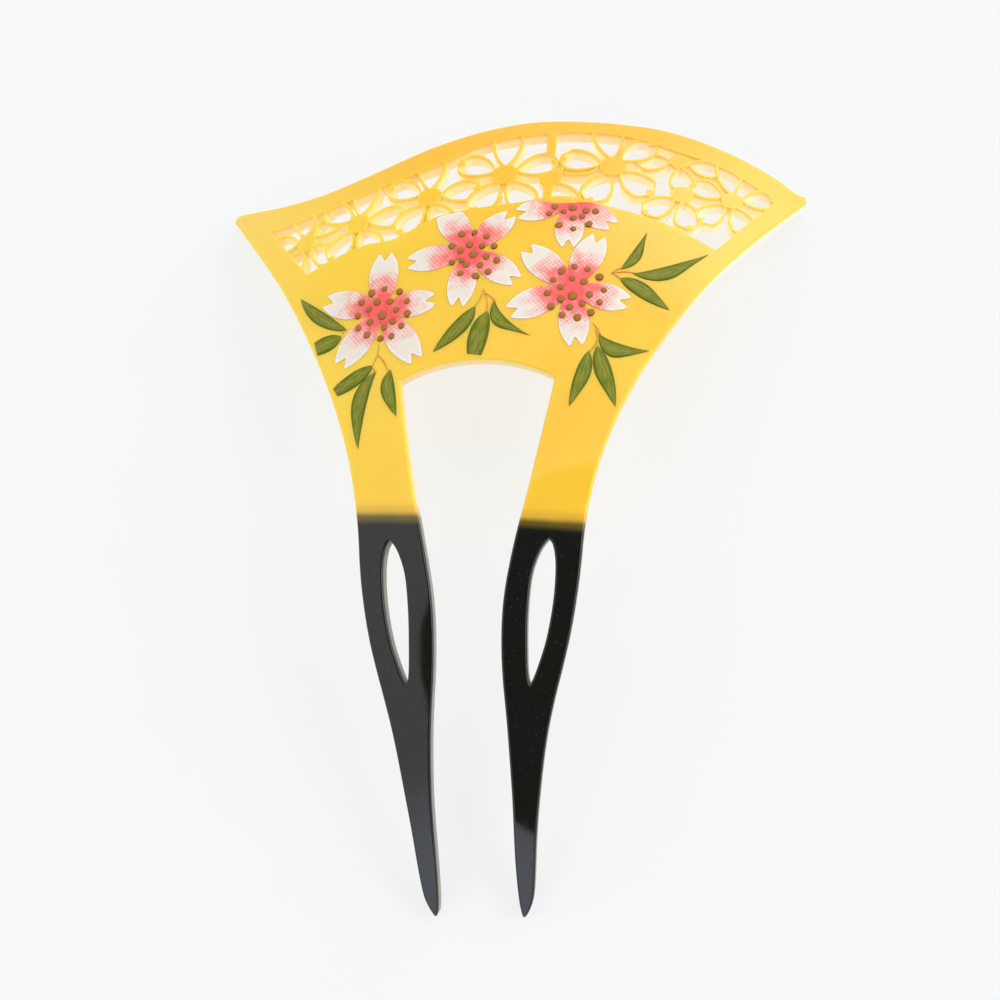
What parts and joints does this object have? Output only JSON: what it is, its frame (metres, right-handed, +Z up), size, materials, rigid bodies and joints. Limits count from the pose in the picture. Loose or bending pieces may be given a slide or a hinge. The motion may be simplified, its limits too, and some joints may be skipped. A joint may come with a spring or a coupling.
{
  "type": "kanzashi",
  "caption": "Domed two-legged hair ornament with a pierced cherry blossom band, raised lacquer flowers and dip-dyed legs.",
  "frame": {"origin": "middle of the footprint, on the surface that the ornament lies on, under its dome", "axes": "+Z up through the front face, +Y from the leg tips to the fan, +X to the right wing"},
  "size_m": [0.0912, 0.1244, 0.0225],
  "materials": {
    "acrylic": "polished translucent amber, dip-dyed black on the legs",
    "petal_lacquer": "raised satin lacquer, white fading to coral at the heart",
    "leaf_lacquer": "raised satin lacquer, leaf green with brown midribs"
  },
  "bodies": {
    "root": {"sheet": "acrylic", "blossom_left": "petal_lacquer", "blossom_middle": "petal_lacquer", "blossom_right": "petal_lacquer", "blossom_top": "petal_lacquer", "leaves_left_side": "leaf_lacquer", "leaves_left_low": "leaf_lacquer", "leaves_middle": "leaf_lacquer", "leaves_right_up": "leaf_lacquer", "leaves_right_low": "leaf_lacquer"}
  },
  "joints": []
}
